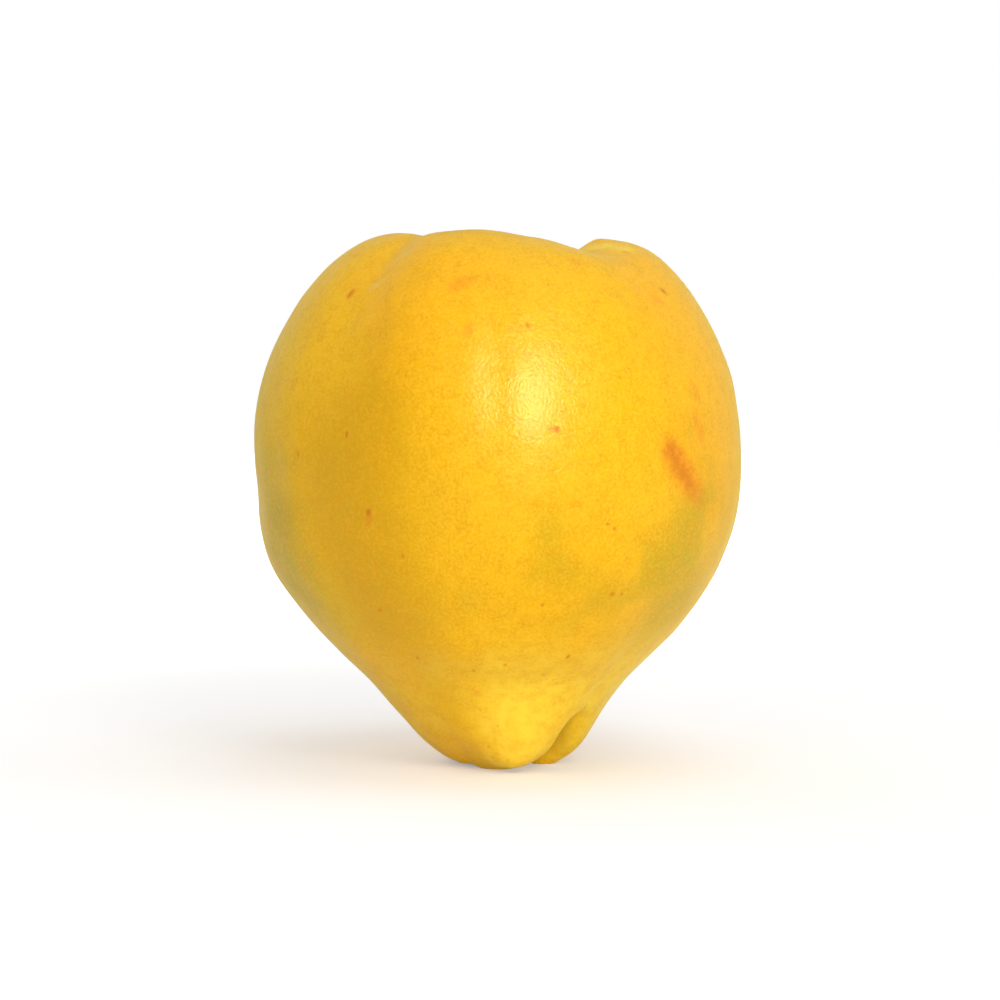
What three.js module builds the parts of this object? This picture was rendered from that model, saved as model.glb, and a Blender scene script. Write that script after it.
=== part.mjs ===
// A ripe quince, Cydonia oblonga, standing on its narrow stem end with the calyx basin up.
// Millimetres, +Z up. The origin lies on the surface that the fruit stands on, under its middle.
// Azimuth 0 is the front (-Y) and 90 the right-hand side (+X).

import * as THREE from 'three';
import { ParametricGeometry } from 'three/addons/geometries/ParametricGeometry.js';

// ---- Driving dimensions ----

// Half outline of a fruit without lobes, as radius and height, from the stem pit round to the eye.
const OUTLINE_POINTS = [
  [0, 8.0], // floor of the stem pit
  [3.2, 7.2],
  [5.2, 2.8], // wall of the stem pit
  [8.0, -0.3], // foot, which the fruit stands on
  [13.0, 4.1],
  [21.6, 13.9], // neck cone
  [31.4, 24.4],
  [38.7, 36.7],
  [41.7, 51.5], // widest
  [40.5, 64.8],
  [35.0, 78.1], // shoulder
  [27.4, 86.9],
  [19.4, 90.7], // crest round the basin
  [13.4, 88.3],
  [8.6, 82.7], // wall of the basin
  [3.6, 80.3],
  [0, 80.1], // eye
];

// The lobes swell and sink along rays from this point of the core.
const HEART_HEIGHT = 49.5;
// Weight presses the soft foot flat by this much.
const PRESS = 0.35;

// Places along the outline, as shares of its length, where each furrow's numbers are given:
// pit, foot, underside of the knob, top of the knob, neck, waist, shoulder, brow, crest,
// basin wall and eye.
const LEVELS = [0, 0.07, 0.115, 0.155, 0.195, 0.4, 0.62, 0.77, 0.86, 0.93, 1];

// Five furrows part the five lobes. A furrow has its azimuth, half its width in degrees and its
// depth at each level, and how blunt its bottom is at the neck and on the body.
const FURROWS = [
  {
    // front right: a sharp fold at the neck, and the deepest notch of the crest
    azimuth: [50, 46, 49, 51, 52, 50, 50, 50, 49, 50, 51],
    half: [30, 24, 24, 17, 15, 26, 30, 30, 30, 36, 36],
    depth: [0, 3.6, 6.2, 5, 0.5, 0.1, 0.3, 1, 3.7, 2.8, 0],
    blunt: [0.05, 0.35],
  },
  {
    // front left
    azimuth: [-30, -28, -30, -31, -32, -38, -42, -41, -40, -36, -30],
    half: [34, 24, 24, 26, 30, 30, 26, 24, 27, 28, 34],
    depth: [0, 0.5, 0.5, 0.3, 0.2, 0.3, 0.9, 1.4, 0.6, 1.8, 0],
    blunt: [0.4, 0.3],
  },
  {
    // back right
    azimuth: [125, 120, 118, 120, 122, 128, 132, 132, 132, 132, 132],
    half: [32, 32, 32, 32, 32, 32, 32, 32, 32, 32, 32],
    depth: [0, 1.8, 1.8, 1.2, 0.6, 0.4, 0.9, 2, 3.3, 2.6, 0],
    blunt: [0.3, 0.45],
  },
  {
    // back
    azimuth: [190, 194, 196, 197, 198, 200, 202, 202, 200, 200, 200],
    half: [32, 32, 32, 32, 32, 32, 32, 32, 32, 32, 32],
    depth: [0, 1.8, 1.6, 1.1, 0.6, 0.6, 1, 2, 3.3, 2.4, 0],
    blunt: [0.3, 0.45],
  },
  {
    // left
    azimuth: [-98, -98, -96, -96, -96, -98, -100, -102, -102, -102, -102],
    half: [30, 30, 30, 30, 30, 30, 30, 30, 30, 30, 30],
    depth: [0, 0.4, 0.5, 0.5, 0.4, 0.7, 0.7, 1.6, 2.8, 2.2, 0],
    blunt: [0.35, 0.45],
  },
];

// Round swells, and hollows where the rise is negative: azimuth, place along the outline,
// spread in degrees, spread along the outline, and rise in millimetres.
const SWELLS = [
  [13, 0.15, 18.5, 0.029, 4.2], // knob at the front of the neck
  [32, 0.1, 20, 0.022, -0.9], // its rounded underside
  [10, 0.235, 26, 0.03, -0.8], // hollow above the knob
  [72, 0.138, 18, 0.03, 2], // lobe to the right of the fold
  [90, 0.25, 30, 0.04, -0.4],
  [90, 0.42, 30, 0.06, 0.6],
  [90, 0.56, 30, 0.05, -0.5],
  [-72, 0.075, 34, 0.03, -1.5], // left of the knob, clear of the surface
  [-84, 0.4, 30, 0.045, 1],
  [-88, 0.49, 24, 0.035, -0.6], // dent in the left side
  [-86, 0.72, 30, 0.04, -0.4],
  [-15, 0.86, 11, 0.04, 0.5], // highest point of the front lobe
  [25, 0.85, 17, 0.04, -1.5], // and its fall to the right
  [90, 0.87, 22, 0.03, -1.4],
  [165, 0.86, 40, 0.05, -2.4], // the crest is lower at the back
  [-130, 0.86, 34, 0.05, -1.2],
];

// Mesh of the fruit: columns round it, rows from pit to eye. Columns crowd together by the fold
// at the neck, rows by both ends.
const FRUIT_COLUMNS = 64;
const FRUIT_ROWS = 50;
const FOLD_AZIMUTH = 47;
const COLUMN_CROWDING = 0.5;
const ROW_CROWDING = 0.4;

// Dried calyx in the basin.
const SEPAL_COUNT = 5;
const SEPAL_LENGTH = 9.5;
const SEPAL_WIDTH = 4.8;
const SEPAL_THICKNESS = 0.8;
const SEPAL_ROOT = [3.5, 80.8]; // radius and height
const SEPAL_LEAN = 20; // degrees from upright at the root
const SEPAL_CURL = 62; // further degrees by the tip
const FIRST_SEPAL_AZIMUTH = 12;

// Dried stamens and styles, as one tuft over the eye.
const TUFT_PROFILE = [
  [0, 80.1],
  [1.9, 80.3],
  [2.5, 81.7],
  [1.9, 83.9],
  [0.7, 85.3],
  [0, 85.4],
];
const TUFT_SIDES = 14;

// Woody stub of the stem, up in its pit.
const STUB_PROFILE = [
  [0, 2.6],
  [1.7, 2.8],
  [2.3, 3.6],
  [1.9, 5.4],
  [2.3, 6.7],
  [0, 7.3],
];
const STUB_SIDES = 16;

const UP = new THREE.Vector3(0, 0, 1);

// ---- Fruit ----

const outline = new THREE.SplineCurve(
  OUTLINE_POINTS.map(([radius, height]) => new THREE.Vector2(radius, height)),
);
outline.arcLengthDivisions = 2000;

const eased = (t) => t * t * (3 - 2 * t);
const clamped = (t) => Math.min(Math.max(t, 0), 1);

/** The values given at LEVELS, eased from one level to the next. */
function atLevel(place, values) {
  const next = Math.max(1, LEVELS.findIndex((level) => level >= place));
  const span = LEVELS[next] - LEVELS[next - 1];
  const share = eased((place - LEVELS[next - 1]) / span);
  return THREE.MathUtils.lerp(values[next - 1], values[next], share);
}

/** Degrees from one azimuth to another, the short way round. */
function degreesBetween(a, b) {
  return Math.abs(THREE.MathUtils.euclideanModulo(a - b + 180, 360) - 180);
}

/** How far a furrow sinks the skin: a valley with round shoulders and a bottom as blunt as given. */
function furrowDepth(furrow, place, azimuth) {
  const onBody = eased(clamped((place - 0.15) / 0.5));
  const blunt = THREE.MathUtils.lerp(furrow.blunt[0], furrow.blunt[1], onBody);
  const across = degreesBetween(azimuth, atLevel(place, furrow.azimuth)) / atLevel(place, furrow.half);
  const fromBottom = Math.hypot(across, blunt) - blunt;
  const share = Math.min(fromBottom / (Math.hypot(1, blunt) - blunt), 1);
  return atLevel(place, furrow.depth) * (1 - share) ** 2;
}

/** How far a swell lifts the skin. */
function swellRise([middle, level, degrees, reach, rise], place, azimuth) {
  const round = degreesBetween(azimuth, middle) / degrees;
  const along = (place - level) / reach;
  return rise * Math.exp(-0.5 * (round * round + along * along));
}

/** The skin at an azimuth and a place along the outline, 0 in the pit and 1 in the eye. */
function skinPoint(azimuth, place, target) {
  const { x: radius, y: height } = outline.getPointAt(place);
  const sunk = FURROWS.reduce((sum, furrow) => sum + furrowDepth(furrow, place, azimuth), 0);
  const raised = SWELLS.reduce((sum, swell) => sum + swellRise(swell, place, azimuth), 0);
  const fade = eased(clamped(Math.min(place, 1 - place) / 0.03));
  const fromHeart = Math.hypot(radius, height - HEART_HEIGHT);
  const growth = 1 + ((raised - sunk) * fade) / fromHeart;
  const z = HEART_HEIGHT + (height - HEART_HEIGHT) * growth - PRESS;
  const angle = THREE.MathUtils.degToRad(azimuth);
  target.set(radius * growth * Math.sin(angle), -radius * growth * Math.cos(angle), Math.max(z, 0));
}

function fruitGeometry() {
  const turn = 2 * Math.PI;
  return new ParametricGeometry(
    (u, v, target) => {
      const t = turn * (u % 1);
      const azimuth = FOLD_AZIMUTH + THREE.MathUtils.radToDeg(t - COLUMN_CROWDING * Math.sin(t));
      const place = v - (ROW_CROWDING * Math.sin(turn * v)) / turn;
      skinPoint(azimuth, clamped(place), target);
    },
    FRUIT_COLUMNS,
    FRUIT_ROWS,
  );
}

// ---- Calyx, tuft and stub ----

/** A dried sepal: a leaf of rounded section that leaves its root upright and curls outwards. */
function sepalGeometry() {
  const [rootRadius, rootHeight] = SEPAL_ROOT;
  const lean = THREE.MathUtils.degToRad(SEPAL_LEAN);
  const curl = THREE.MathUtils.degToRad(SEPAL_CURL);
  return new ParametricGeometry(
    (u, v, target) => {
      const round = -2 * Math.PI * (u % 1);
      const swell = Math.sqrt(Math.sin(Math.PI * clamped(v))) * (1 - 0.45 * v);
      const across = 0.5 * SEPAL_WIDTH * swell * Math.cos(round);
      const through = 0.5 * SEPAL_THICKNESS * Math.min(1, 3 * swell) * Math.sin(round);
      // The middle line is an arc: its slope turns evenly from the lean to the lean plus the curl.
      const bend = lean + curl * v;
      const out = (SEPAL_LENGTH / curl) * (Math.cos(lean) - Math.cos(bend));
      const up = (SEPAL_LENGTH / curl) * (Math.sin(bend) - Math.sin(lean));
      const cupping = 0.08 * across * across;
      target.set(
        across,
        -(rootRadius + out + (through - cupping) * Math.cos(bend)),
        rootHeight + up - (through - cupping) * Math.sin(bend),
      );
    },
    12,
    10,
  );
}

function turnedGeometry(profile, sides) {
  const points = profile.map(([radius, height]) => new THREE.Vector2(radius, height));
  return new THREE.LatheGeometry(points, sides).rotateX(Math.PI / 2);
}

// ---- The part ----

const skin = new THREE.MeshStandardMaterial({ name: 'skin', color: 0xf8bc22, roughness: 0.4, metalness: 0 });
const driedCalyx = new THREE.MeshStandardMaterial({
  name: 'dried_calyx',
  color: 0x6b4a2a,
  roughness: 0.85,
  metalness: 0,
});
const wood = new THREE.MeshStandardMaterial({ name: 'stem_wood', color: 0x5a4028, roughness: 0.8, metalness: 0 });

function namedMesh(name, geometry, material) {
  const mesh = new THREE.Mesh(geometry, material);
  mesh.name = name;
  return mesh;
}

const fruit = new THREE.Group();
fruit.add(namedMesh('fruit', fruitGeometry(), skin));

for (let i = 0; i < SEPAL_COUNT; i += 1) {
  const sepal = namedMesh(`sepal_${i + 1}`, sepalGeometry(), driedCalyx);
  const azimuth = FIRST_SEPAL_AZIMUTH + (360 * i) / SEPAL_COUNT;
  sepal.quaternion.setFromAxisAngle(UP, THREE.MathUtils.degToRad(azimuth));
  fruit.add(sepal);
}

fruit.add(namedMesh('stamen_tuft', turnedGeometry(TUFT_PROFILE, TUFT_SIDES), driedCalyx));
fruit.add(namedMesh('stem_stub', turnedGeometry(STUB_PROFILE, STUB_SIDES), wood));

// The lobes pull the fruit's box off its axis, so the fruit moves back over the origin.
const middle = new THREE.Box3().setFromObject(fruit).getCenter(new THREE.Vector3());
fruit.position.set(-middle.x, -middle.y, 0);

const quince = new THREE.Group();
quince.name = 'quince';
quince.add(fruit);

export default quince;
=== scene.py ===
import math

import bpy
import numpy as np
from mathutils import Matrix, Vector


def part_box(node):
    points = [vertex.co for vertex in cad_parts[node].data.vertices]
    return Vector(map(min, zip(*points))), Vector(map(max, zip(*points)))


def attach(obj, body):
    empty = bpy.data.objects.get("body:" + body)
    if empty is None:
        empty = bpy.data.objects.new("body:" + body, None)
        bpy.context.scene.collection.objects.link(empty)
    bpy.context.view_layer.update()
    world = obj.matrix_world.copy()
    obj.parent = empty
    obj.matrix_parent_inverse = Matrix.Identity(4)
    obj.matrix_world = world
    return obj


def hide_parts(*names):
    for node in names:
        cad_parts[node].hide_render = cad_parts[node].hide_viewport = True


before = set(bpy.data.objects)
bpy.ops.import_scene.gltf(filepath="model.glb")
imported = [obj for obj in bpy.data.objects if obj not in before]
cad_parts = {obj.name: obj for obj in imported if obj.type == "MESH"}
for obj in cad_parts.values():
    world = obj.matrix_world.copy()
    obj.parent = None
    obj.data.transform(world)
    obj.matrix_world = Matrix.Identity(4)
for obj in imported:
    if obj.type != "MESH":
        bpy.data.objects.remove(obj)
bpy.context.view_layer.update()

# A ripe quince standing on its narrow stem end, with the calyx basin up.
# Lengths are in millimetres until a mesh is made. Azimuth 0 is the front (-Y) and 90 the right (+X).
MM = 0.001
rng = np.random.default_rng(7)

# ---- Camera, studio and lights ----

CORE_HEIGHT = 45.0  # what the camera looks at
CAMERA_ELEVATION = 3.0
CAMERA_LENS = 100.0
SENSOR = 36.0
VIEW_WIDTH = 171.3  # what the view takes in, at the core
CAMERA_SIDE = 0.3  # the fruit stands this far left of the middle of the view
CAMERA_DISTANCE = VIEW_WIDTH * CAMERA_LENS / SENSOR  # from the core

WORLD_LIGHT = 0.5  # what the surroundings cast
WORLD_SEEN = 1.0  # what the camera sees of them
KEY_LIGHT = {"azimuth": 22, "elevation": 29, "distance": 620, "size": (230, 280), "power": 0.875}
GLEAM = {"azimuth": 15.5, "elevation": 23, "distance": 640, "size": (200, 370), "power": 4.0}
LOW_LIGHT = {"azimuth": 14, "elevation": -1, "distance": 620, "size": (420, 60), "power": 1.6}
TOP_LIGHT = {"azimuth": 60, "elevation": 76, "distance": 700, "size": (500, 500), "power": 1.0}
BACK_LIGHT = {"azimuth": -145, "elevation": 22, "distance": 700, "size": (420, 420), "power": 0.8}
FLOOR_RADIUS = 1500.0
FLOOR_SIDES = 96
FLOOR_GLOW = (0.30, 0.80)  # near the fruit, and far from it
FLOOR_GLOW_REACH = (0.06, 0.5)  # metres from the axis: where near ends, and where far starts


def direction(azimuth, elevation):
    """Unit vector at an azimuth from the front and an elevation above the floor, in degrees."""
    a, e = math.radians(azimuth), math.radians(elevation)
    return Vector((math.sin(a) * math.cos(e), -math.cos(a) * math.cos(e), math.sin(e)))


def camera():
    """The front camera, which looks slightly down at the core."""
    data = bpy.data.cameras.new("camera")
    data.lens = CAMERA_LENS
    data.sensor_width = SENSOR
    data.clip_start = 0.01
    data.clip_end = 20
    back = direction(0, CAMERA_ELEVATION)
    seer = bpy.data.objects.new("camera", data)
    seer.location = (Vector((CAMERA_SIDE, 0, CORE_HEIGHT)) + back * CAMERA_DISTANCE) * MM
    seer.rotation_euler = back.to_track_quat("Z", "Y").to_euler()
    bpy.context.collection.objects.link(seer)
    bpy.context.scene.camera = seer


def softbox(name, azimuth, elevation, distance, size, power, in_gloss=True, on_colour=True):
    """A rectangular area light that faces the middle of the fruit. It may be left out of the
    gloss, or light the gloss alone."""
    data = bpy.data.lights.new(name, "AREA")
    data.shape = "RECTANGLE"
    data.size, data.size_y = size[0] * MM, size[1] * MM
    data.energy = power
    back = direction(azimuth, elevation)
    lamp = bpy.data.objects.new(name, data)
    lamp.location = (Vector((0, 0, CORE_HEIGHT)) + back * distance) * MM
    lamp.rotation_euler = back.to_track_quat("Z", "Y").to_euler()
    lamp.visible_camera = False
    lamp.visible_glossy = in_gloss
    lamp.visible_diffuse = on_colour
    bpy.context.collection.objects.link(lamp)


# ---- Short ways to build meshes and shader nodes ----


def ring_mesh(name, rings, **values):
    """Closed surfaces, each a stack of rings that starts and ends in one point.
    rings holds points by surface, ring, place round the ring and coordinate, in millimetres.
    Each of values gives one number for every such point, kept as an attribute of the mesh."""
    rings = rings.reshape(-1, *rings.shape[-3:])
    count, rows, columns, _ = rings.shape

    def in_order(points):
        middle = points[:, 1:-1].reshape(count, (rows - 2) * columns, -1)
        return np.concatenate([middle, points[:, [0, -1], 0]], axis=1).reshape(-1, points.shape[-1])

    row = np.arange(rows - 3)[:, None] * columns
    here = np.arange(columns)[None]
    beside = (here + 1) % columns
    quads = np.stack([row + here, row + beside, row + columns + beside, row + columns + here], -1)
    root, tip = (rows - 2) * columns, (rows - 2) * columns + 1
    top = (rows - 3) * columns
    root_fan = np.stack([np.full_like(here, root), beside, here], -1)
    tip_fan = np.stack([np.full_like(here, tip), top + here, top + beside], -1)
    first = (np.arange(count) * (tip + 1))[:, None, None]
    quads = (quads.reshape(-1, 4) + first).reshape(-1, 4)
    fans = (np.concatenate([root_fan, tip_fan], 1).reshape(-1, 3) + first).reshape(-1, 3)

    # A ring that turns the wrong way round would face inwards: the sign of the volume tells.
    points = in_order(rings)
    a, b, c = (points[quads[:, i]] for i in range(3))
    if np.einsum("ij,ij", a - points[root], np.cross(b - a, c - a)) < 0:
        quads, fans = quads[:, ::-1], fans[:, ::-1]

    mesh = bpy.data.meshes.new(name)
    mesh.from_pydata((points * MM).tolist(), [], quads.tolist() + fans.tolist())
    for key, value in values.items():
        value = np.broadcast_to(value, rings.shape[:-1])[..., None]
        layer = mesh.attributes.new(key, "FLOAT", "POINT")
        layer.data.foreach_set("value", np.ascontiguousarray(in_order(value)[:, 0], np.float32))
    mesh.shade_smooth()
    piece = bpy.data.objects.new(name, mesh)
    bpy.context.collection.objects.link(piece)
    return piece


def tubes(paths, widths, sides):
    """Rings round each path: circles of the given half widths, square to the path.
    paths holds points by tube, step and coordinate. widths has one half width for every point."""
    slant = np.array([0.31, 0.17, 0.94])  # a direction that no path takes
    along = np.gradient(paths, axis=1)
    along /= np.linalg.norm(along, axis=-1, keepdims=True)
    side = np.cross(along, slant)
    side /= np.linalg.norm(side, axis=-1, keepdims=True)
    over = np.cross(along, side)
    t = np.linspace(0, 2 * np.pi, sides, endpoint=False)[:, None]
    ring = side[:, :, None] * np.cos(t) + over[:, :, None] * np.sin(t)
    return paths[:, :, None] + ring * widths[..., None, None]


def node(tree, kind, inputs=(), **settings):
    """Adds a shader node, with its settings, and links or sets its inputs."""
    made = tree.nodes.new(kind)
    for key, value in settings.items():
        setattr(made, key, value)
    for key, value in dict(inputs).items():
        if isinstance(value, bpy.types.NodeSocket):
            tree.links.new(value, made.inputs[key])
        else:
            made.inputs[key].default_value = value
    return made


def paint(tree, share, under, over, way="MIX"):
    """Lays one colour over another, by a share from 0 to 1. Way is how the two blend."""
    kinds = {"data_type": "RGBA", "blend_type": way}
    return node(tree, "ShaderNodeMix", {0: share, 6: under, 7: over}, **kinds).outputs[2]


def eased(tree, value, low, high, to_low=0.0, to_high=1.0):
    """Turns a value from low to high smoothly into one from to_low to to_high."""
    places = {0: value, 1: low, 2: high, 3: to_low, 4: to_high}
    return node(tree, "ShaderNodeMapRange", places, interpolation_type="SMOOTHSTEP").outputs[0]


def maths(tree, operation, first, second=0.0):
    return node(tree, "ShaderNodeMath", {0: first, 1: second}, operation=operation).outputs[0]


def noise(tree, where, scale, detail=2.0, rough=0.5):
    places = {"Vector": where, "Scale": scale, "Detail": detail, "Roughness": rough}
    return node(tree, "ShaderNodeTexNoise", places).outputs[0]


def placed(tree, where, middle, size, turn=(0, 0, 0)):
    """Object coordinates moved to a middle, turned and measured in sizes, so that 1 is the edge."""
    places = {"Vector": where, "Location": middle, "Rotation": turn, "Scale": size}
    return node(tree, "ShaderNodeMapping", places, vector_type="TEXTURE").outputs[0]


def bump(tree, height, strength, distance):
    places = {"Strength": strength, "Distance": distance, "Height": height}
    return node(tree, "ShaderNodeBump", places).outputs[0]


def value_of(tree, name):
    return node(tree, "ShaderNodeAttribute", attribute_name=name).outputs["Fac"]


def finish(name):
    """A new material with its node tree, its Principled shader and its Object coordinates."""
    material = bpy.data.materials.new(name)
    material.use_nodes = True
    tree = material.node_tree
    where = node(tree, "ShaderNodeTexCoord").outputs["Object"]
    return material, tree, tree.nodes["Principled BSDF"], where


def plug(tree, shader, **sockets):
    """Joins or sets sockets of a shader, with _ for the spaces of their names."""
    for key, value in sockets.items():
        socket = shader.inputs[key.replace("_", " ")]
        if isinstance(value, bpy.types.NodeSocket):
            tree.links.new(value, socket)
        else:
            socket.default_value = value


# ---- Form of the fruit ----

EYE_HEIGHT = 80.1  # floor of the basin, where the dried calyx stands

# Half outline of a fruit without lobes, as radius and height, from the stem pit round to the eye.
OUTLINE_POINTS = [
    (0, 8.0),  # floor of the stem pit
    (3.2, 7.2),
    (5.2, 2.8),  # wall of the stem pit
    (8.0, -0.3),  # foot, which the fruit stands on
    (13.0, 4.1),
    (21.6, 13.9),  # neck cone
    (31.4, 24.4),
    (38.7, 36.7),
    (41.7, 51.5),  # widest
    (40.5, 64.8),
    (35.0, 78.1),  # shoulder
    (27.4, 86.9),
    (19.4, 90.7),  # crest round the basin
    (13.4, 88.3),
    (8.6, 82.7),  # wall of the basin
    (3.6, 80.3),
    (0, EYE_HEIGHT),  # eye
]
HEART_HEIGHT = 49.5  # the lobes swell and sink along rays from this point of the core
PRESS = 0.35  # weight presses the soft foot flat by this much

# Places along the outline, as shares of its length, where each furrow's numbers are given:
# pit, foot, underside of the knob, top of the knob, neck, waist, shoulder, brow, crest,
# basin wall and eye.
LEVELS = (0, 0.07, 0.115, 0.155, 0.195, 0.4, 0.62, 0.77, 0.86, 0.93, 1)

# Five furrows part the five lobes. Each has its azimuth, half its width in degrees and its depth
# at each level, and how blunt its bottom is at the neck and on the body.
FURROWS = [
    {  # front right: a sharp fold at the neck, and the deepest notch of the crest
        "azimuth": (50, 46, 49, 51, 52, 50, 50, 50, 49, 50, 51),
        "half": (30, 24, 24, 17, 15, 26, 30, 30, 30, 36, 36),
        "depth": (0, 3.6, 6.2, 5, 0.5, 0.1, 0.3, 1, 3.7, 2.8, 0),
        "blunt": (0.05, 0.35),
    },
    {  # front left
        "azimuth": (-30, -28, -30, -31, -32, -38, -42, -41, -40, -36, -30),
        "half": (34, 24, 24, 26, 30, 30, 26, 24, 27, 28, 34),
        "depth": (0, 0.5, 0.5, 0.3, 0.2, 0.3, 0.9, 1.4, 0.6, 1.8, 0),
        "blunt": (0.4, 0.3),
    },
    {  # back right
        "azimuth": (125, 120, 118, 120, 122, 128, 132, 132, 132, 132, 132),
        "half": (32,) * 11,
        "depth": (0, 1.8, 1.8, 1.2, 0.6, 0.4, 0.9, 2, 3.3, 2.6, 0),
        "blunt": (0.3, 0.45),
    },
    {  # back
        "azimuth": (190, 194, 196, 197, 198, 200, 202, 202, 200, 200, 200),
        "half": (32,) * 11,
        "depth": (0, 1.8, 1.6, 1.1, 0.6, 0.6, 1, 2, 3.3, 2.4, 0),
        "blunt": (0.3, 0.45),
    },
    {  # left
        "azimuth": (-98, -98, -96, -96, -96, -98, -100, -102, -102, -102, -102),
        "half": (30,) * 11,
        "depth": (0, 0.4, 0.5, 0.5, 0.4, 0.7, 0.7, 1.6, 2.8, 2.2, 0),
        "blunt": (0.35, 0.45),
    },
]

# Round swells, and hollows where the rise is negative: azimuth, place along the outline,
# spread in degrees, spread along the outline, and rise in millimetres.
SWELLS = [
    (13, 0.15, 18.5, 0.029, 4.2),  # knob at the front of the neck
    (32, 0.1, 20, 0.022, -0.9),  # its rounded underside
    (10, 0.235, 26, 0.03, -0.8),  # hollow above the knob
    (72, 0.138, 18, 0.03, 2),  # lobe to the right of the fold
    (90, 0.25, 30, 0.04, -0.4),
    (90, 0.42, 30, 0.06, 0.6),
    (90, 0.56, 30, 0.05, -0.5),
    (-72, 0.075, 34, 0.03, -1.5),  # left of the knob, clear of the surface
    (-84, 0.4, 30, 0.045, 1),
    (-88, 0.49, 24, 0.035, -0.6),  # dent in the left side
    (-86, 0.72, 30, 0.04, -0.4),
    (-15, 0.86, 11, 0.04, 0.5),  # highest point of the front lobe
    (25, 0.85, 17, 0.04, -1.5),  # and its fall to the right
    (90, 0.87, 22, 0.03, -1.4),
    (165, 0.86, 40, 0.05, -2.4),  # the crest is lower at the back
    (-130, 0.86, 34, 0.05, -1.2),
]

# Low relief that only the finished skin has, given like the swells.
LOW_RELIEF = [
    (-0.4, 0.602, 2.8, 0.055, -0.3),  # groove between two soft ridges on the front
    (12, 0.57, 6, 0.07, 0.12),
    (-62, 0.52, 4, 0.06, -0.25),  # crease down the left
    (14, 0.42, 3, 0.02, -0.15),  # small dent below the middle
    (-41, 0.83, 3.5, 0.045, -0.3),  # crease down from the crest
    (-18, 0.86, 9, 0.035, -0.6),
    (65.5, 0.862, 3, 0.010, -0.35),  # steep side of the lobe behind the notch
    (71.5, 0.852, 3, 0.008, 0.4),
    (79, 0.82, 6, 0.02, -0.35),
]

FRUIT_COLUMNS = 420
FRUIT_ROWS = 216
FOLD_AZIMUTH = 47.0
COLUMN_CROWDING = 0.35
ROW_CROWDING = 0.3
OUTLINE_STEPS = 6000

# Where changes begin, and how much further on they are complete.
BASIN = (0.865, 0.10)  # places along the outline: the skin turns russet past the crest
FOLD_SHADE_ENDS = (0.15, 0.05)  # the painted shade in the folds of the neck fades above the knob
BODY = (0.15, 0.5)  # the furrows change from the neck's bluntness to the body's
POLE = (0, 0.03)  # the lobes grow out of the smooth pit and eye
FAR_SIDE = (64, 14)  # degrees from the front: marks are scattered over the rest


def smooth(t):
    t = np.clip(t, 0, 1)
    return t * t * (3 - 2 * t)


def ramp(value, start, reach):
    """0 up to the start, 1 from a reach beyond it, and smooth in between."""
    return smooth((value - start) / reach)


def half_outline():
    """Catmull-Rom curve through the outline points, with each point's share of its length."""
    p = np.array(OUTLINE_POINTS, float)
    spans = len(p) - 1
    t = np.linspace(0, spans, OUTLINE_STEPS)
    i = np.minimum(t.astype(int), spans - 1)
    w = (t - i)[:, None]
    before, start, end, after = p[np.maximum(i - 1, 0)], p[i], p[i + 1], p[np.minimum(i + 2, spans)]
    leave, arrive = (end - before) / 2, (after - start) / 2
    curve = start + leave * w + (3 * (end - start) - 2 * leave - arrive) * w**2
    curve += (2 * (start - end) + leave + arrive) * w**3
    length = np.concatenate([[0], np.cumsum(np.linalg.norm(np.diff(curve, axis=0), axis=1))])
    return length / length[-1], curve


OUTLINE_SHARES, OUTLINE_CURVE = half_outline()


def at_level(place, values):
    """The values given at LEVELS, eased from one level to the next."""
    levels, values = np.array(LEVELS, float), np.array(values, float)
    i = np.clip(np.searchsorted(levels, place, side="right") - 1, 0, len(levels) - 2)
    share = smooth((place - levels[i]) / (levels[i + 1] - levels[i]))
    return values[i] * (1 - share) + values[i + 1] * share


def degrees_between(a, b):
    """Degrees from one azimuth to another, the short way round."""
    return np.abs((a - b + 180) % 360 - 180)


def furrow_depth(furrow, place, azimuth):
    """Depth times the square of how near the bottom is, where distance from the bottom is blunted
    as the root of its square plus the bluntness squared."""
    on_body = ramp(place, *BODY)
    blunt = furrow["blunt"][0] * (1 - on_body) + furrow["blunt"][1] * on_body
    middle = at_level(place, furrow["azimuth"])
    across = degrees_between(azimuth, middle) / at_level(place, furrow["half"])
    share = (np.hypot(across, blunt) - blunt) / (np.hypot(1, blunt) - blunt)
    return at_level(place, furrow["depth"]) * (1 - np.minimum(share, 1)) ** 2


def swell_rise(swell, place, azimuth):
    """A bell curve in azimuth times a bell curve along the outline."""
    middle, level, degrees, reach, rise = swell
    round_it = degrees_between(azimuth, middle) / degrees
    along = (place - level) / reach
    return rise * np.exp(-0.5 * (round_it**2 + along**2))


def lumps(points, size, height, count, seed):
    """Soft uneven relief: a sum of plane waves in random directions, about size long."""
    draw = np.random.default_rng(seed)
    ways = draw.normal(size=(count, 3))
    ways *= 2 * np.pi / (size * np.linalg.norm(ways, axis=1, keepdims=True))
    ways *= draw.uniform(0.6, 1.5, (count, 1))
    phases = draw.uniform(0, 2 * np.pi, count)
    waves = sum(np.sin(points @ way + phase) for way, phase in zip(ways, phases))
    return height * waves / math.sqrt(count)


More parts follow.
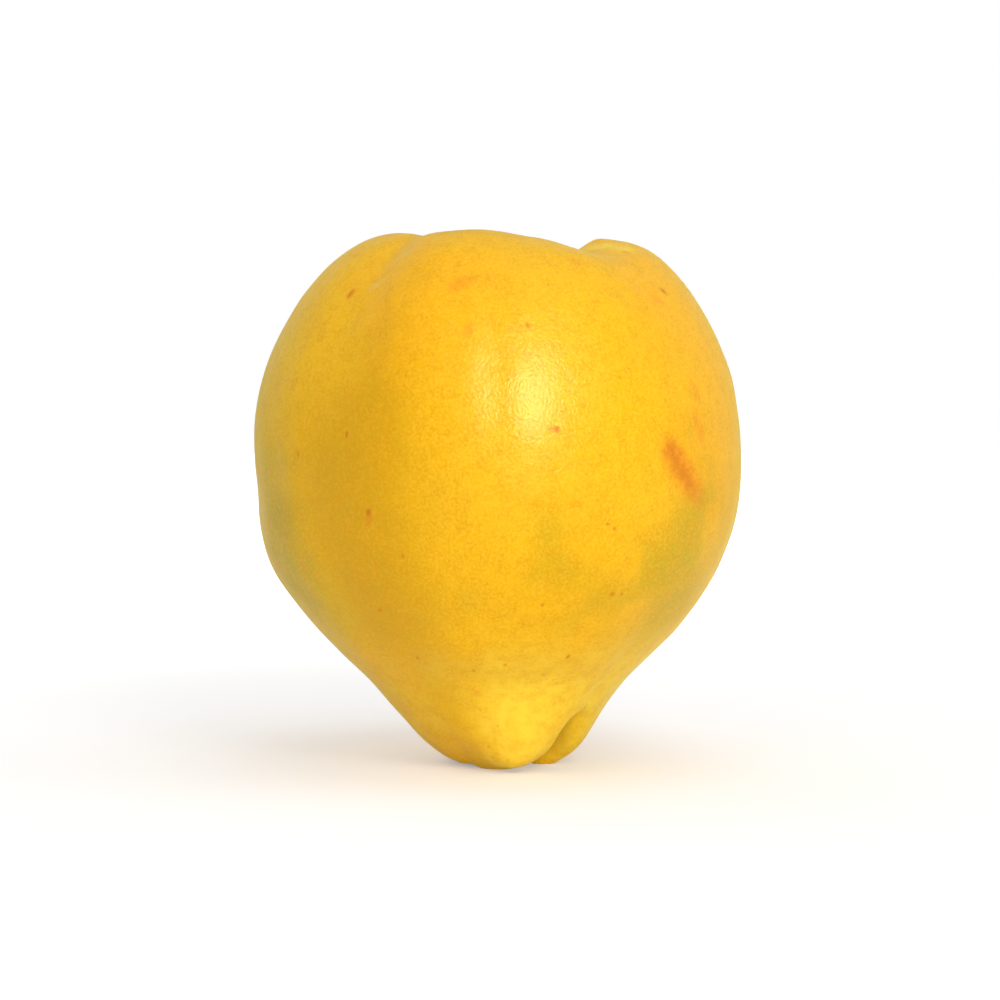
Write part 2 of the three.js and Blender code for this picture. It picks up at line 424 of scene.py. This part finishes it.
def skin_points(place, azimuth):
    """The skin at a place along the outline, 0 in the pit and 1 in the eye, and an azimuth:
    the turned outline, moved along rays from the heart by the swells less the furrows. Also gives
    how far the furrows sink it."""
    place, azimuth = np.broadcast_arrays(np.asarray(place, float), np.asarray(azimuth, float))
    radius = np.interp(place, OUTLINE_SHARES, OUTLINE_CURVE[:, 0])
    height = np.interp(place, OUTLINE_SHARES, OUTLINE_CURVE[:, 1])
    angle = np.radians(azimuth)
    plain = np.stack([radius * np.sin(angle), -radius * np.cos(angle), height - HEART_HEIGHT], -1)
    sunk = sum(furrow_depth(furrow, place, azimuth) for furrow in FURROWS)
    raised = sum(swell_rise(swell, place, azimuth) for swell in SWELLS + LOW_RELIEF)
    raised = raised + lumps(plain, size=26, height=0.14, count=14, seed=3)
    raised = raised + lumps(plain, size=9, height=0.035, count=18, seed=4)
    fade = ramp(np.minimum(place, 1 - place), *POLE)
    growth = 1 + (raised - sunk) * fade / np.linalg.norm(plain, axis=-1)
    points = plain * growth[..., None] + np.array([0, 0, HEART_HEIGHT - PRESS])
    points[..., 2] = np.maximum(points[..., 2], 0)
    return points, sunk


def fruit_surface():
    """Rows from pit to eye, closer together at both ends, and columns round the fruit, closer
    together at the fold of the neck. The whole is moved so that its box lies over the CAD's.
    Gives the points, their places along the outline, how far furrows sink them, and the move."""
    v = np.linspace(0, 1, FRUIT_ROWS)[:, None]
    t = np.linspace(0, 2 * np.pi, FRUIT_COLUMNS, endpoint=False)[None]
    place = np.clip(v - ROW_CROWDING * np.sin(2 * np.pi * v) / (2 * np.pi), 0, 1)
    azimuth = FOLD_AZIMUTH + np.degrees(t - COLUMN_CROWDING * np.sin(t))
    points, sunk = skin_points(place, azimuth)
    low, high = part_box("fruit")
    middle = (np.array(low) + np.array(high)) / 2 / MM
    shift = middle - (points.min((0, 1)) + points.max((0, 1))) / 2
    shift[2] = 0
    return points + shift, place, sunk, shift


# ---- Finishes ----

# Marks on the skin as they show from the front: millimetres right of the axis and above the floor,
# half length, half width, and degrees that the long way leans to the right of upright.
MARK_DEPTH = 1.2  # half of how far a mark reaches into the skin, or its half width if that is more
BRUISES = [
    (30.0, 52.4, 5.6, 3.4, -38),
    (32.3, 48.7, 6.0, 3.4, -28),
]
# Soft reddish patches.
SMEARS = [
    (31.0, 51.2, 8.0, 4.0, -34),
    (34.0, 46.6, 5.4, 3.2, -28),
    (34.4, 57.5, 5.0, 1.6, -12),
    (-24.3, 87.0, 1.4, 0.5, 50),
    (-6.3, 82.0, 5.6, 2.0, 52),
    (-5.0, 73.8, 3.2, 1.3, 10),
    (33.8, 63.8, 3.4, 1.0, -14),
    (12.9, 85.6, 2.4, 1.1, -50),
    (27.0, 79.5, 3.8, 1.4, -30),
    (8.9, 57.6, 1.5, 0.6, -52),
    (-22.3, 42.4, 2.4, 1.0, 10),
    (-3.7, 11.5, 1.8, 0.6, -50),
]
# Brown spots, and small ones that are fainter.
SPOTS = [
    (-25.3, 79.9, 3.4, 0.85, 8),
    (10.3, 56.8, 1.1, 0.83, -60),
    (5.1, 75, 0.88, 0.55, -50),
    (-25.9, 56.5, 0.83, 0.55, 0),
    (-22.1, 42.8, 0.7, 0.6, 20),
    (28.2, 80.5, 1.3, 0.8, -30),
    (12, 17.9, 0.83, 0.55, 0),
]
FAINTNESS = 0.75
FAINT_SPOTS = [
    (-16.6, 35.2, 0.66, 0.55, 0),
    (-20.4, 25.8, 0.66, 0.55, 70),
    (18.8, 41.1, 0.6, 0.55, -30),
    (19.8, 40.3, 0.6, 0.55, -50),
    (19.5, 28.9, 0.88, 0.55, 80),
    (21.3, 28.9, 0.6, 0.55, 0),
    (7.4, 27.2, 0.6, 0.55, 0),
    (-14, 17.6, 0.6, 0.55, 0),
    (-4.4, 15.7, 0.6, 0.55, 0),
    (1.1, 16.5, 0.6, 0.55, 0),
    (21.9, 87.1, 0.66, 0.55, 0),
    (-34.3, 53.1, 0.77, 0.55, 0),
]
# Pale streaks of painted sheen down the crease left of the front lobe's crest, and a painted
# highlight line in the right notch of the crest.
PAINTED_SHEEN_STREAKS = [
    (-15.5, 87.2, 5.0, 1.2, 52),
    (-20.6, 81.8, 5.5, 1.3, 30),
    (13.5, 87.7, 2.6, 0.35, -78),
]

# Broad tints that lie over the gold: azimuth, height, spread in degrees, spread in millimetres
# and strength.
TINTS = {
    "ochre": [
        (-34, 47, 16, 15, 1.0),
        (-34, 27, 16, 8, 0.45),
        (10, 36, 12, 6, 0.3),
        (26, 36, 9, 8, 0.2),
        (40, 40, 7, 9, 0.15),
        (32, 27, 14, 6, 0.3),
        (52, 54, 7, 8, 0.4),
        (68, 45, 8, 10, 0.35),
        (-23, 13, 9, 5, 0.5),
        (-27, 68, 7, 12, 0.3),
        (-16, 90.4, 15, 0.6, 0.5),
        (12, 89.4, 13, 0.6, 0.5),
        (32, 88.0, 10, 0.7, 0.5),
        (77, 88.7, 7, 0.7, 0.5),
        (150, 40, 22, 14, 0.8),
        (-140, 56, 18, 12, 0.7),
    ],
    "olive": [
        (11.5, 41, 4.2, 5, 0.65),
        (20, 37, 6, 4, 0.2),
        (48.5, 36.5, 8, 9, 0.85),
        (62, 28, 10, 7, 0.7),
        (-64, 38, 13, 10, 0.7),
        (62, 7, 11, 6, 0.8),
        (115, 50, 14, 12, 0.5),
        (-165, 33, 20, 10, 0.6),
    ],
    "moss": [
        (-66, 44, 9, 9, 0.6),
        (-61, 29, 9, 7, 0.65),
        (53, 40, 6, 6, 0.5),
        (58, 28, 6, 5, 0.3),
        (12, 42, 3, 4, 0.25),
        (33, 31, 13, 7, 0.4),
        (112, 48, 9, 9, 0.45),
        (-165, 31, 14, 7, 0.5),
    ],
    "lime": [
        (-76, 50, 16, 26, 1.0),
        (-60, 30, 14, 8, 0.6),
        (66, 12, 14, 6, 0.7),
        (170, 70, 26, 14, 0.5),
    ],
    "orange": [
        (-12, 79, 16, 8, 0.9),
        (-30, 79, 6, 8, 0.7),
        (-46, 86, 9, 5, 0.5),
        (-24, 61, 6, 12, 0.6),
        (60, 62, 16, 14, 0.8),
        (56, 82, 14, 8, 0.9),
        (56, 50, 8, 7, 0.6),
        (-110, 66, 20, 14, 0.5),
        (135, 66, 16, 12, 0.6),
    ],
    "pale_and_lit": [
        # Paler skin at the knob, partly painted light from below.
        (12, 7, 21, 8, 0.9),
        # Painted highlight on the crest beside the right notch.
        (61.5, 87.9, 4.5, 0.9, 1.0),
        # Paler skin low on the neck and round it, partly painted light from below.
        (74, 15, 18, 6, 0.6),
        (0, 18, 40, 5, 0.3),
        (90, 10, 40, 10, 0.4),
        (-90, 10, 40, 10, 0.4),
        (180, 10, 50, 10, 0.4),
    ],
}


def seen_places(marks, points):
    """Where marks given as seen from the front camera lie on the skin: the point of the near side
    whose line of sight passes closest to each."""
    near = points[points[:, 1] < 0]
    eye = direction(0, CAMERA_ELEVATION) * CAMERA_DISTANCE
    eye_height, eye_away = CORE_HEIGHT + eye.z, -eye.y
    scale = eye_away / (eye_away + near[:, 1])
    seen = np.stack([near[:, 0] * scale, eye_height + (near[:, 2] - eye_height) * scale], 1)
    wanted = np.array([mark[:2] for mark in marks])
    gaps = ((wanted[:, None] - seen[None]) ** 2).sum(-1)
    return near[gaps.argmin(1)]


def near_mark(tree, where, spot, mark):
    """1 in the middle of a mark and 0 at its edge: nearness in an ellipsoid set into the skin."""
    _, _, length, width, lean = mark
    facing = math.atan2(spot[0], -spot[1])
    across = math.cos(facing)
    turn = math.atan2(math.tan(math.radians(lean)), across)
    size = tuple(MM * s for s in (width, max(width, MARK_DEPTH), length))
    local = placed(tree, where, Vector(spot) * MM, size, (0, turn, facing))
    return node(tree, "ShaderNodeTexGradient", {0: local}, gradient_type="SPHERICAL").outputs[0]


def most(tree, values):
    """The greatest of some values."""
    top = values[0]
    for value in values[1:]:
        top = maths(tree, "MAXIMUM", top, value)
    return top


def tint_share(tint, azimuth, height):
    """The sum of a tint's bell curves in azimuth and height, at most 1."""
    share = 0
    for middle, level, degrees, reach, strength in TINTS[tint]:
        away = (degrees_between(azimuth, middle) / degrees) ** 2 + ((height - level) / reach) ** 2
        share = share + strength * np.exp(-0.5 * away)
    return np.minimum(share, 1)


# Colours of the skin. REDDENED multiplies the colour that it lies on.
GOLD = (0.875, 0.47, 0.001, 1)
TINT_COLOURS = {
    "orange": (0.95, 0.45, 0.001, 1),
    "ochre": (0.64, 0.33, 0.0, 1),
    "lime": (0.80, 0.51, 0.003, 1),
    "olive": (0.58, 0.36, 0.0, 1),
    "moss": (0.45, 0.335, 0.004, 1),
    # Pale tint: partly paler skin, partly painted light from below and a painted highlight on the
    # crest.
    "pale_and_lit": (1.0, 0.70, 0.05, 1),
}
BRIGHT_GRAIN = (0.98, 0.60, 0.06, 1)
DARK_GRAIN = (0.70, 0.30, 0.0, 1)
BLOTCH = (0.78, 0.37, 0.0, 1)
SPECK = (0.56, 0.22, 0.003, 1)
# Painted sheen: pale streaks along the creases of the crest.
PAINTED_SHEEN = (0.84, 0.52, 0.10, 1)
REDDENED = (0.98, 0.66, 1.0, 1)
BRUISE_CORE = (0.55, 0.12, 0.002, 1)
SPOT_BROWN = (0.55, 0.14, 0.004, 1)
# Painted shade in the fold of the neck.
FOLD_SHADE = (0.46, 0.28, 0.004, 1)
RUSSET = (0.28, 0.14, 0.035, 1)

# How fine each pattern is, in repeats to a metre.
PATCHES = 120
BLOTCHES = 420
PEEL = 520
WRINKLES = 700
GRAIN = 2100
FAR_SMEARS = 75
CRUMBLE = 1300
STAMEN_GRAIN = 1400
BARK_GRAIN = 1500
LENGTHWAYS = (1, 1, 3)  # draws a pattern out to three times its size, up the fruit or the stub

# Specks: repeats to a metre, radius as a share of the gap, rarity, and strength.
PORES = [(260, 0.15, 0.7, 0.45), (620, 0.24, 0.55, 0.45)]
FAR_SPOTS = (85, 0.085, 0.25, 1.4)

SHAKE = (0.0011, 0.0005)  # metres: length and reach of the waves that roughen a mark's edge


def shaken_coordinates(tree, where, size, reach):
    """Coordinates moved about by a noise of a size, by up to half a reach, both in metres."""
    kinds = {"Vector": where, "Scale": 1 / size, "Detail": 2}
    push = node(tree, "ShaderNodeTexNoise", kinds).outputs[1]
    places = {0: push, 1: (reach,) * 3, 2: where}
    moved = node(tree, "ShaderNodeVectorMath", places, operation="MULTIPLY_ADD").outputs[0]
    half = (reach / 2,) * 3
    return node(tree, "ShaderNodeVectorMath", {0: moved, 1: half}, operation="SUBTRACT").outputs[0]


def swayed(tree, value, pattern, reach):
    """A value raised and lowered by a pattern from 0 to 1, by up to half a reach each way."""
    sway = maths(tree, "MULTIPLY", maths(tree, "SUBTRACT", pattern, 0.5), reach)
    return maths(tree, "ADD", value, sway)


def ground_colour(tree, patchy):
    """Gold with the broad tints laid over it, their edges broken up by a patchy noise."""
    colour = GOLD
    for tint, over in TINT_COLOURS.items():
        share = swayed(tree, value_of(tree, tint), patchy, 0.95)
        colour = paint(tree, eased(tree, share, 0.1, 1.0, 0, 0.9), colour, over)
    return colour


def specks(tree, where, scale, radius, rare, strength):
    """Small soft round specks, scattered one to a cell. Cells that draw less than rare have none."""
    cells = node(tree, "ShaderNodeTexVoronoi", {"Vector": where, "Scale": scale, "Randomness": 1})
    drawn = node(tree, "ShaderNodeSeparateColor", {0: cells.outputs["Color"]}).outputs[0]
    share = eased(tree, cells.outputs["Distance"], 0, radius, strength, 0)
    return maths(tree, "MULTIPLY", share, eased(tree, drawn, rare, 1.0))


def with_grain(tree, colour, where, grain, blotch):
    """Blotches, a fine light and dark grain, and pores, laid over a colour. The light grain is
    fainter on ochre skin, and the dark where the pale tint with its painted light lies."""
    colour = paint(tree, eased(tree, blotch, 0.38, 0.7, 0, 0.4), colour, BLOTCH)
    light = eased(tree, value_of(tree, "ochre"), 0, 1, 0.3, 0.17)
    light = maths(tree, "MULTIPLY", light, eased(tree, grain, 0.40, 0.75))
    colour = paint(tree, light, colour, BRIGHT_GRAIN)
    dark = eased(tree, grain, 0.60, 0.28)
    dark = maths(tree, "MULTIPLY", dark, eased(tree, blotch, 0.3, 0.7, 0.12, 0.5))
    dark = maths(tree, "MULTIPLY", dark, eased(tree, value_of(tree, "pale_and_lit"), 0, 1, 1, 0.5))
    colour = paint(tree, dark, colour, DARK_GRAIN)
    for pores in PORES:
        colour = paint(tree, specks(tree, where, *pores), colour, SPECK)
    return colour


def marked(tree, where, points, marks):
    """1 in the middle of the nearest of some marks, and 0 at its edge."""
    places = zip(seen_places(marks, points), marks)
    return most(tree, [near_mark(tree, where, spot, mark) for spot, mark in places])


def with_marks(tree, colour, where, points, blotch):
    """Painted sheen streaks, smears, the bruise and brown spots, laid over a colour. More smears and
    spots are scattered over the far side. Also gives how far the skin is spotted or bruised."""
    shaken = shaken_coordinates(tree, where, *SHAKE)
    sheen_streaked = marked(tree, shaken, points, PAINTED_SHEEN_STREAKS)
    smeared = marked(tree, shaken, points, SMEARS)
    bruised = marked(tree, shaken, points, BRUISES)
    faint = maths(tree, "MULTIPLY", marked(tree, shaken, points, FAINT_SPOTS), FAINTNESS)
    spotted = most(tree, [marked(tree, shaken, points, SPOTS), faint])

    far = value_of(tree, "far")
    cloud = eased(tree, noise(tree, where, FAR_SMEARS, 1), 0.60, 0.80, 0, 0.8)
    smeared = most(tree, [smeared, maths(tree, "MULTIPLY", far, cloud)])
    dots = specks(tree, shaken, *FAR_SPOTS)
    spotted = most(tree, [spotted, maths(tree, "MULTIPLY", far, dots)])

    bruised = maths(tree, "MULTIPLY", bruised, eased(tree, blotch, 0.3, 0.65, 0.55, 1.15))

    # Each layer has how near a mark's middle it begins and is full, and how much it then covers.
    layers = [
        # Painted sheen and highlight streaks along the creases of the crest.
        (sheen_streaked, 0, 0.8, 0.6, PAINTED_SHEEN, "MIX"),
        (smeared, 0, 0.7, 0.55, REDDENED, "MULTIPLY"),
        (bruised, 0, 0.5, 0.4, REDDENED, "MULTIPLY"),
        (bruised, 0.15, 1.05, 0.62, BRUISE_CORE, "MIX"),
        (spotted, 0, 0.5, 0.5, REDDENED, "MULTIPLY"),
        (spotted, 0.15, 0.85, 0.68, SPOT_BROWN, "MIX"),
    ]
    for nearness, begins, full, cover, over, way in layers:
        share = eased(tree, nearness, begins, full, 0, cover)
        colour = paint(tree, share, colour, over, way)
    return colour, most(tree, [spotted, bruised])


def skin_bump(tree, where, grain):
    """The relief of the skin: its grain, a peel of soft pits and wrinkles that run up the fruit."""
    peel = noise(tree, where, PEEL, 2, 0.5)
    wrinkles = noise(tree, placed(tree, where, (0, 0, 0), LENGTHWAYS), WRINKLES, 2)
    relief = maths(tree, "ADD", maths(tree, "MULTIPLY", grain, 0.9), peel)
    relief = maths(tree, "ADD", relief, maths(tree, "MULTIPLY", wrinkles, 0.35))
    return bump(tree, relief, strength=0.5, distance=0.0002)


def quince_skin(points):
    """Golden skin with broad tints, grain and marks, painted shade in the fold and russet in the
    basin.
    Marks lie on the given points. Damaged skin is less glossy."""
    material, tree, shader, where = finish("quince_skin")
    patchy = noise(tree, where, PATCHES, 3)
    grain = noise(tree, where, GRAIN, 2, 0.5)
    blotch = noise(tree, where, BLOTCHES, 3, 0.6)

    colour = with_grain(tree, ground_colour(tree, patchy), where, grain, blotch)
    colour, damaged = with_marks(tree, colour, where, points, blotch)
    # Painted shade: the fold of the neck darkens as its furrow sinks deeper.
    colour = paint(tree, eased(tree, value_of(tree, "fold"), 0.8, 4.0, 0, 0.8), colour, FOLD_SHADE)
    basin = swayed(tree, value_of(tree, "basin"), patchy, 0.5)
    colour = paint(tree, eased(tree, basin, 0.3, 0.95, 0, 0.85), colour, RUSSET)

    rough = eased(tree, patchy, 0.3, 0.75, 0.30, 0.38)
    rough = maths(tree, "ADD", rough, eased(tree, damaged, 0.1, 0.8, 0, 0.18))
    plug(
        tree,
        shader,
        Base_Color=colour,
        Roughness=rough,
        Normal=skin_bump(tree, where, grain),
        IOR=1.45,
        Subsurface_Weight=0.12,
        Subsurface_Radius=(1.0, 0.45, 0.12),
        Subsurface_Scale=0.003,
        Specular_IOR_Level=0.45,
        Specular_Tint=(1.0, 0.95, 0.5, 1),
        Sheen_Weight=0.4,
        Sheen_Roughness=0.5,
        Sheen_Tint=(1.0, 0.78, 0.06, 1),
    )
    return material


LEAF_DARK = (0.15, 0.072, 0.018, 1)
LEAF_LIGHT = (0.38, 0.205, 0.065, 1)
LEAF_CRUMB = (0.42, 0.27, 0.10, 1)
LEAF_EDGE = (0.07, 0.035, 0.014, 1)
VEINS = (6.0, 4.0, 1.1)  # how fine across a half leaf, how fine along a leaf, and both together
STAMEN_DARK = (0.05, 0.028, 0.014, 1)
STAMEN_LIGHT = (0.17, 0.10, 0.045, 1)
BARK_DARK = (0.07, 0.04, 0.02, 1)
BARK_LIGHT = (0.26, 0.17, 0.09, 1)


def dried_leaf():
    """Brown, brittle and wrinkled sepals: veins run the long way, and the edges are darkest."""
    material, tree, shader, where = finish("dried_sepal")
    across, along = value_of(tree, "across"), value_of(tree, "along")
    fine_across, fine_along, fineness = VEINS
    ways = {
        0: maths(tree, "MULTIPLY", across, fine_across),
        1: maths(tree, "MULTIPLY", along, fine_along),
    }
    leaf = node(tree, "ShaderNodeCombineXYZ", ways).outputs[0]
    veins = noise(tree, leaf, fineness, 3, 0.6)
    crumble = noise(tree, where, CRUMBLE, 3, 0.6)
    colour = paint(tree, eased(tree, veins, 0.3, 0.7), LEAF_DARK, LEAF_LIGHT)
    colour = paint(tree, eased(tree, crumble, 0.45, 0.7, 0, 0.6), colour, LEAF_CRUMB)
    edge = eased(tree, maths(tree, "ABSOLUTE", across), 0.75, 1.0, 0, 0.7)
    colour = paint(tree, edge, colour, LEAF_EDGE)
    relief = maths(tree, "ADD", veins, maths(tree, "MULTIPLY", crumble, 0.4))
    normal = bump(tree, relief, strength=0.9, distance=0.0003)
    plug(tree, shader, Base_Color=colour, Roughness=0.82, Normal=normal)
    return material


def dried_stamens():
    """Nearly black, dry and grainy."""
    material, tree, shader, where = finish("dried_stamen")
    grain = noise(tree, where, STAMEN_GRAIN, 3)
    colour = paint(tree, eased(tree, grain, 0.3, 0.7), STAMEN_DARK, STAMEN_LIGHT)
    normal = bump(tree, grain, strength=0.5, distance=0.0002)
    plug(tree, shader, Base_Color=colour, Roughness=0.85, Normal=normal)
    return material


def stem_bark():
    """Grey-brown bark whose grain runs up the stub."""
    material, tree, shader, where = finish("stem_bark")
    grain = noise(tree, placed(tree, where, (0, 0, 0), LENGTHWAYS), BARK_GRAIN, 4)
    colour = paint(tree, eased(tree, grain, 0.3, 0.7), BARK_DARK, BARK_LIGHT)
    normal = bump(tree, grain, strength=0.7, distance=0.0003)
    plug(tree, shader, Base_Color=colour, Roughness=0.8, Normal=normal)
    return material


def floor_finish():
    """White paper. The camera sees it a little brighter, more so far from the fruit."""
    material, tree, shader, where = finish("floor_paper")
    seen = node(tree, "ShaderNodeLightPath").outputs["Is Camera Ray"]
    away = node(tree, "ShaderNodeVectorMath", {0: where}, operation="LENGTH").outputs["Value"]
    glow = maths(tree, "MULTIPLY", seen, eased(tree, away, *FLOOR_GLOW_REACH, *FLOOR_GLOW))
    plug(
        tree,
        shader,
        Base_Color=(0.85, 0.85, 0.85, 1),
        Roughness=0.9,
        Specular_IOR_Level=0.0,
        Emission_Color=(1, 1, 1, 1),
        Emission_Strength=glow,
    )
    return material


# ---- Pieces ----


def dress(piece, material, cad_nodes):
    """Gives a piece its material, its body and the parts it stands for."""
    piece.data.materials.append(material)
    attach(piece, "root")
    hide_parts(*cad_nodes)


def make_fruit():
    """The fruit, with attributes that say where its skin is russet, has painted shade in the fold,
    is far from the front or is tinted. Marks are kept out of the basin, whose wall lies hidden just
    behind the crest."""
    points, place, sunk, shift = fruit_surface()
    basin = ramp(place, *BASIN)
    azimuth = np.degrees(np.arctan2(points[..., 0], -points[..., 1]))
    tints = {tint: tint_share(tint, azimuth, points[..., 2]) for tint in TINTS}
    far = ramp(np.abs(azimuth), *FAR_SIDE)
    # Mask of the painted shade in the fold: the furrows' depth, fading above the knob.
    fold = sunk * (1 - ramp(place, *FOLD_SHADE_ENDS))
    piece = ring_mesh("quince", points, basin=basin, fold=fold, far=far, **tints)
    outside = points[place[:, 0] < BASIN[0]].reshape(-1, 3)
    dress(piece, quince_skin(outside), ["fruit"])
    return shift


def make_sepals(shift, material):
    """Each sepal is a leaf of rounded section. Its middle line is an arc that leaves the root
    nearly upright and curls outwards. Its half width rises as the root of the length and falls
    to a point, with teeth along the edge, and its face is keeled, twisted and rippled."""
    rows, columns = 56, 40
    root_radius = 3.1
    half_thickness = 0.16
    tooth_height, teeth_count = 0.13, 9
    ripple_height, ripple_count = 0.45, 2.4
    keel, droop = 0.14, 0.3
    v = np.linspace(0, 1, rows)[:, None]
    t = np.linspace(0, 2 * np.pi, columns, endpoint=False)[None]
    for number in range(5):
        low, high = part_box(f"sepal_{number + 1}")
        middle = (np.array(low) + np.array(high)) / 2 / MM - shift
        azimuth = np.arctan2(middle[0], -middle[1])
        lean = np.radians(rng.uniform(14, 24))
        curl = np.radians(rng.uniform(60, 92))
        length = rng.uniform(8.8, 9.8)
        tooth = np.abs(np.sin(teeth_count * np.pi * v + number))
        teeth = 1 + tooth_height * tooth * smooth(v / 0.2)
        swell = 1.55 * np.sqrt(v) * (1 - v) ** 0.8 * teeth
        half_width = rng.uniform(2.0, 2.5)
        across = half_width * swell * np.cos(t)
        side = np.cos(t) + 0 * v
        through = half_thickness * np.minimum(1, 4 * swell) * np.sin(t)
        wave = np.sin(2 * np.pi * (ripple_count * v + rng.uniform()) + 2.0 * side)
        ripple = ripple_height * swell * wave * side**2
        fold = keel * across**2 * (0.6 + v) + droop * v * np.abs(side) * swell
        bend = lean + curl * v**0.9
        out = length / curl * (np.cos(lean) - np.cos(lean + curl * v))
        up = length / curl * (np.sin(lean + curl * v) - np.sin(lean))
        lift = through + ripple - fold + 0.5 * rng.uniform(-1, 1) * v * side
        r = root_radius + out + lift * np.cos(bend)
        z = EYE_HEIGHT + up - lift * np.sin(bend)
        twist = azimuth + 0.04 * np.sin(3 * v + number)
        x = across * np.cos(twist) + r * np.sin(twist)
        y = across * np.sin(twist) - r * np.cos(twist)
        rings = np.stack([x, y, z + 0 * t], -1) + shift
        piece = ring_mesh(f"dried_sepal_{number + 1}", rings, across=side, along=v + number)
        dress(piece, material, [f"sepal_{number + 1}"])


def make_stamens(shift):
    """Thin stalks that rise from a ring round the eye, bend aside as the square of their height
    and end in small shrunken anthers, with a bundle of thicker styles in the middle."""
    steps, sides = 12, 7
    stalks, styles = 24, 5
    v = np.linspace(0, 1, steps)[None]
    angle = np.linspace(0, 2 * np.pi, stalks, endpoint=False) + rng.uniform(-0.2, 0.2, stalks)
    root = rng.uniform(1.0, 2.1, stalks)
    height = rng.uniform(2.8, 5.0, stalks)
    reach = rng.uniform(-0.6, 1.8, stalks)
    side = rng.uniform(-1.2, 1.2, stalks)
    r = root[:, None] + reach[:, None] * v**2
    a = angle[:, None] + side[:, None] * v**2 * 0.35
    z = EYE_HEIGHT - 0.2 + height[:, None] * v * (1 - 0.12 * v**3)
    paths = np.stack([r * np.sin(a), -r * np.cos(a), z], -1) + shift
    anther = np.exp(-(((v - 0.92) / 0.06) ** 2))
    widths = (0.13 + 0.24 * anther) * smooth((1 - v) / 0.04) * np.ones((stalks, 1))
    stamens = tubes(paths, widths, sides)

    a = np.linspace(0, 2 * np.pi, styles, endpoint=False)[:, None] + 0.3
    r = 0.35 + 0.8 * v**2
    z = EYE_HEIGHT - 0.4 + 4.2 * v + 0.4 * np.sin(a)
    paths = np.stack([r * np.sin(a + v), -r * np.cos(a + v), z], -1) + shift
    widths = (0.34 - 0.16 * v) * smooth((1 - v) / 0.04) * np.ones((styles, 1))
    rings = np.concatenate([stamens, tubes(paths, widths, sides)])
    piece = ring_mesh("dried_stamens", rings)
    dress(piece, dried_stamens(), ["stamen_tuft"])


# Radius and height of the stub, from its broken end up to its root in the pit.
STUB_PROFILE = [
    (0, 2.7),
    (1.4, 2.6),
    (1.9, 3.0),
    (2.2, 3.7),
    (1.9, 5.2),
    (2.4, 7.0),
    (3.0, 8.2),
    (0, 8.6),
]


def make_stub(shift):
    """A turned stub: its radius runs along the profile, and waves round it make ridges in the
    bark and a ragged end."""
    rows, columns = 60, 72
    profile = np.array(STUB_PROFILE)
    steps = np.linspace(0, 1, rows)
    at = np.linspace(0, 1, len(profile))
    radius = np.interp(steps, at, profile[:, 0])[:, None]
    height = np.interp(steps, at, profile[:, 1])[:, None]
    t = np.linspace(0, 2 * np.pi, columns, endpoint=False)[None]
    ridges = 1 + 0.05 * np.sin(9 * t) + 0.03 * np.sin(23 * t + 4 * height)
    ragged = 0.25 * np.sin(5 * t + 1) * np.sin(3 * t)
    ragged = ragged * smooth((3.2 - height) / 0.6) * np.minimum(radius, 1)
    radius = radius * ridges
    rings = np.stack([radius * np.sin(t), -radius * np.cos(t), height + ragged], -1)
    piece = ring_mesh("woody_stub", rings + shift)
    dress(piece, stem_bark(), ["stem_stub"])


def make_floor():
    """A flat disc in the plane of the foot: one face inside a circle of points."""
    t = np.linspace(0, 2 * np.pi, FLOOR_SIDES, endpoint=False)
    circle = FLOOR_RADIUS * MM * np.stack([np.cos(t), np.sin(t), 0 * t], -1)
    mesh = bpy.data.meshes.new("floor")
    mesh.from_pydata(circle.tolist(), [], [list(range(len(circle)))])
    mesh.materials.append(floor_finish())
    floor = bpy.data.objects.new("floor", mesh)
    bpy.context.collection.objects.link(floor)


def make_world():
    """Even white light from all round. The camera sees plain white."""
    world = bpy.data.worlds.new("studio")
    world.use_nodes = True
    tree = world.node_tree
    seen = node(tree, "ShaderNodeLightPath").outputs["Is Camera Ray"]
    lights = {0: seen, 2: WORLD_LIGHT, 3: WORLD_SEEN}
    strength = node(tree, "ShaderNodeMix", lights, data_type="FLOAT")
    background = tree.nodes["Background"]
    background.inputs["Color"].default_value = (1, 1, 1, 1)
    tree.links.new(strength.outputs[0], background.inputs["Strength"])
    bpy.context.scene.world = world


bpy.context.scene.view_settings.view_transform = "Standard"
camera()
make_world()
make_floor()
softbox("key", **KEY_LIGHT)
softbox("gleam", **GLEAM, on_colour=False)
softbox("low", **LOW_LIGHT, in_gloss=False)
softbox("top", **TOP_LIGHT, in_gloss=False)
softbox("back", **BACK_LIGHT, in_gloss=False)
shift = make_fruit()
make_sepals(shift, dried_leaf())
make_stamens(shift)
make_stub(shift)
